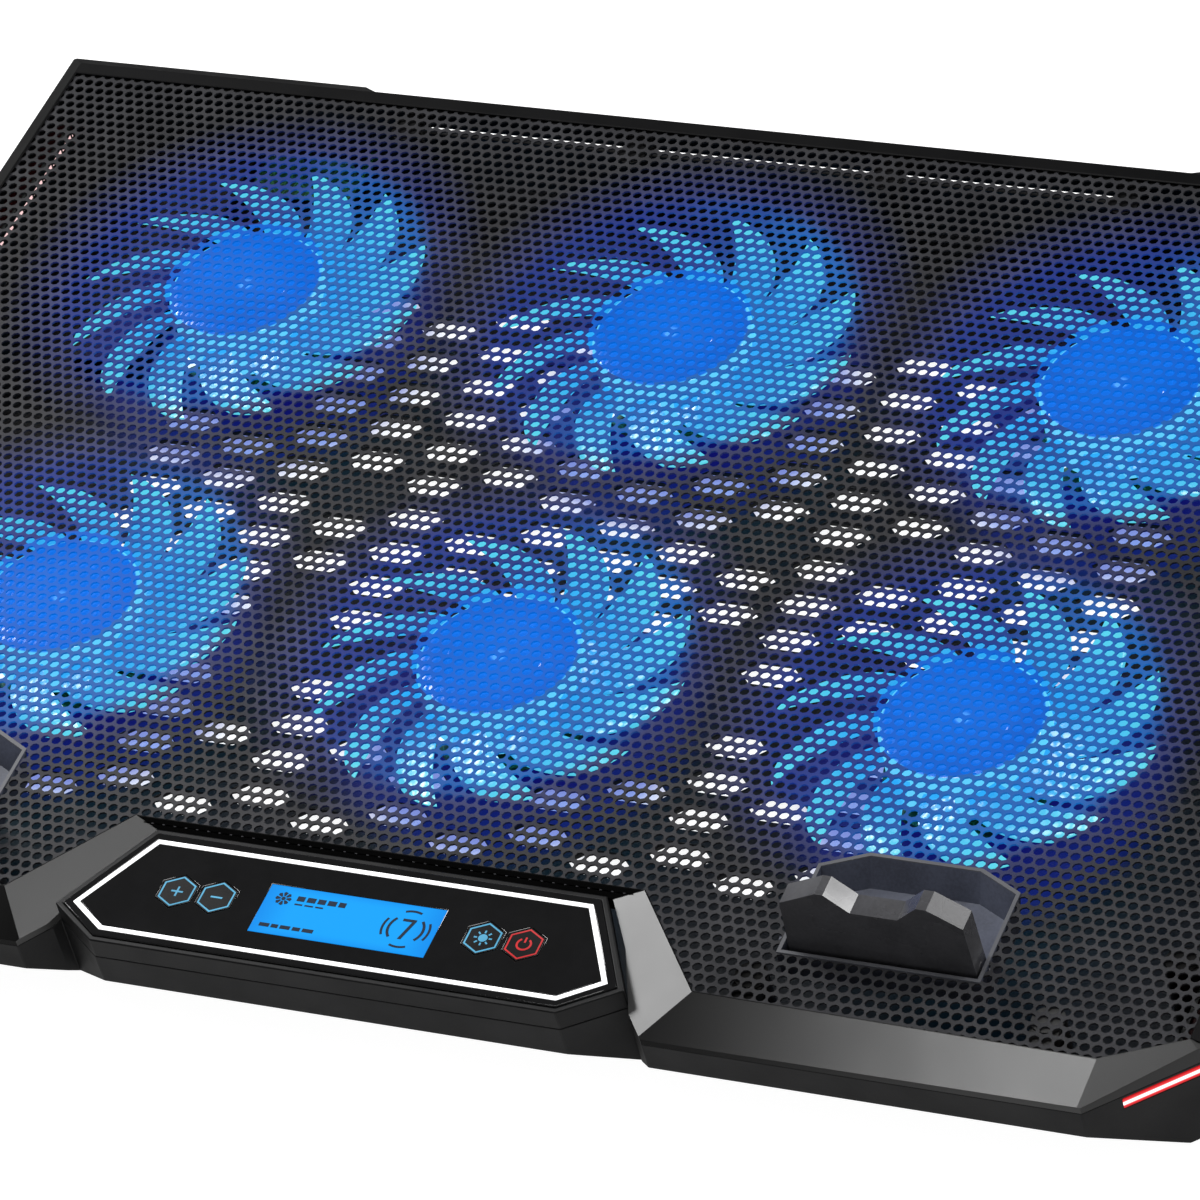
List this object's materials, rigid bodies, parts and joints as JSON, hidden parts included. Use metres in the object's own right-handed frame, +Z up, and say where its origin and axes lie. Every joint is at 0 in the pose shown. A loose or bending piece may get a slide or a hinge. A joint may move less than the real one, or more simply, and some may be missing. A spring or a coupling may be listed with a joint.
{
  "type": "laptop cooling pad",
  "caption": "Flat laptop cooling pad: perforated deck over lit fans, a front control panel with display and keys, fold-down stops, side lights and fold-out rear legs.",
  "frame": {"origin": "middle of the body's footprint, on the table under the feet", "axes": "+X to the user's right, +Y away from the user, +Z up"},
  "size_m": [0.42, 0.3026, 0.0489],
  "materials": {
    "black_plastic": "fine moulded grain, satin",
    "deck_steel": "perforated sheet, satin dark paint",
    "satin_grey_paint": "satin metallic grey paint on plastic",
    "tray_plastic": "satin dark grey",
    "stop_plastic": "satin black",
    "gloss_black": "piano black",
    "light_guide_white": "lit diffuser",
    "lcd_blue": "backlit blue display",
    "key_blue": "black with a lit blue outline",
    "key_red": "black with a lit red outline",
    "light_pipe_red": "lit red diffuser",
    "fan_plastic": "translucent, lit blue",
    "circuit_board": "green solder mask",
    "steel": "plain",
    "magnet_dark": "bonded ferrite",
    "bronze": "sintered bush",
    "led_white": "lit chip",
    "rubber_black": "matt"
  },
  "bodies": {
    "base": {"bottom_shell": "black_plastic", "top_frame": "black_plastic", "control_housing": "black_plastic", "mesh_panel": "deck_steel", "front_trim": "satin_grey_paint", "stop_tray_left": "tray_plastic", "stop_tray_right": "tray_plastic", "stop_pin_left": "steel", "stop_pin_right": "steel", "leg_pins": "steel", "case_screws": "steel", "board_screws": "steel", "usb_power_socket": "steel", "usb_device_socket": "steel", "motor_stators": "steel", "control_cover": "gloss_black", "light_line": "light_guide_white", "lcd_glass": "lcd_blue", "lcd_backlight": "light_guide_white", "control_board": "circuit_board", "side_led_board_left": "circuit_board", "side_led_board_right": "circuit_board", "motor_boards": "circuit_board", "usb_board": "circuit_board", "key_switches": "steel", "side_light_left": "light_pipe_red", "side_light_right": "light_pipe_red", "motor_bushes": "bronze", "fan_leds": "led_white", "rubber_feet": "rubber_black"},
    "fan_back_left": {"rotor_back_left": "fan_plastic", "shaft_back_left": "steel", "magnet_back_left": "magnet_dark"},
    "fan_back_centre": {"rotor_back_centre": "fan_plastic", "shaft_back_centre": "steel", "magnet_back_centre": "magnet_dark"},
    "fan_back_right": {"rotor_back_right": "fan_plastic", "shaft_back_right": "steel", "magnet_back_right": "magnet_dark"},
    "fan_front_left": {"rotor_front_left": "fan_plastic", "shaft_front_left": "steel", "magnet_front_left": "magnet_dark"},
    "fan_front_centre": {"rotor_front_centre": "fan_plastic", "shaft_front_centre": "steel", "magnet_front_centre": "magnet_dark"},
    "fan_front_right": {"rotor_front_right": "fan_plastic", "shaft_front_right": "steel", "magnet_front_right": "magnet_dark"},
    "plus_key": {"key_plus": "key_blue"},
    "minus_key": {"key_minus": "key_blue"},
    "light_key": {"key_light": "key_blue"},
    "power_key": {"key_power": "key_red"},
    "left_stop": {"stop_left": "stop_plastic"},
    "left_leg": {"leg_left": "black_plastic", "leg_tip_left": "rubber_black"},
    "right_stop": {"stop_right": "stop_plastic"},
    "right_leg": {"leg_right": "black_plastic", "leg_tip_right": "rubber_black"}
  },
  "joints": [
    {"name": "fan_back_left_spin", "type": "hinge", "parent": "base", "child": "fan_back_left", "pos_m": [-0.12, 0.07435, 0.02], "axis": [0, 0, 1], "continuous": true},
    {"name": "fan_back_centre_spin", "type": "hinge", "parent": "base", "child": "fan_back_centre", "pos_m": [0, 0.07435, 0.02], "axis": [0, 0, 1], "continuous": true},
    {"name": "fan_back_right_spin", "type": "hinge", "parent": "base", "child": "fan_back_right", "pos_m": [0.12, 0.07435, 0.02], "axis": [0, 0, 1], "continuous": true},
    {"name": "fan_front_left_spin", "type": "hinge", "parent": "base", "child": "fan_front_left", "pos_m": [-0.12, -0.04165, 0.02], "axis": [0, 0, 1], "continuous": true},
    {"name": "fan_front_centre_spin", "type": "hinge", "parent": "base", "child": "fan_front_centre", "pos_m": [0, -0.04165, 0.02], "axis": [0, 0, 1], "continuous": true},
    {"name": "fan_front_right_spin", "type": "hinge", "parent": "base", "child": "fan_front_right", "pos_m": [0.12, -0.04165, 0.02], "axis": [0, 0, 1], "continuous": true},
    {"name": "plus_key_press", "type": "slide", "parent": "base", "child": "plus_key", "axis": [0, 0, -1], "range_m": [0, 0.0004], "stiffness_N_per_m": 1500},
    {"name": "minus_key_press", "type": "slide", "parent": "base", "child": "minus_key", "axis": [0, 0, -1], "range_m": [0, 0.0004], "stiffness_N_per_m": 1500},
    {"name": "light_key_press", "type": "slide", "parent": "base", "child": "light_key", "axis": [0, 0, -1], "range_m": [0, 0.0004], "stiffness_N_per_m": 1500},
    {"name": "power_key_press", "type": "slide", "parent": "base", "child": "power_key", "axis": [0, 0, -1], "range_m": [0, 0.0004], "stiffness_N_per_m": 1500},
    {"name": "left_stop_fold", "type": "hinge", "parent": "base", "child": "left_stop", "pos_m": [-0.1285, -0.11665, 0.027], "axis": [1, 0, 0], "range_deg": [-90, 0]},
    {"name": "right_stop_fold", "type": "hinge", "parent": "base", "child": "right_stop", "pos_m": [0.1285, -0.11665, 0.027], "axis": [1, 0, 0], "range_deg": [-90, 0]},
    {"name": "left_leg_fold", "type": "hinge", "parent": "base", "child": "left_leg", "pos_m": [-0.16, 0.135, 0.0055], "axis": [1, 0, 0], "range_deg": [0, 105]},
    {"name": "right_leg_fold", "type": "hinge", "parent": "base", "child": "right_leg", "pos_m": [0.16, 0.135, 0.0055], "axis": [1, 0, 0], "range_deg": [0, 105]}
  ]
}
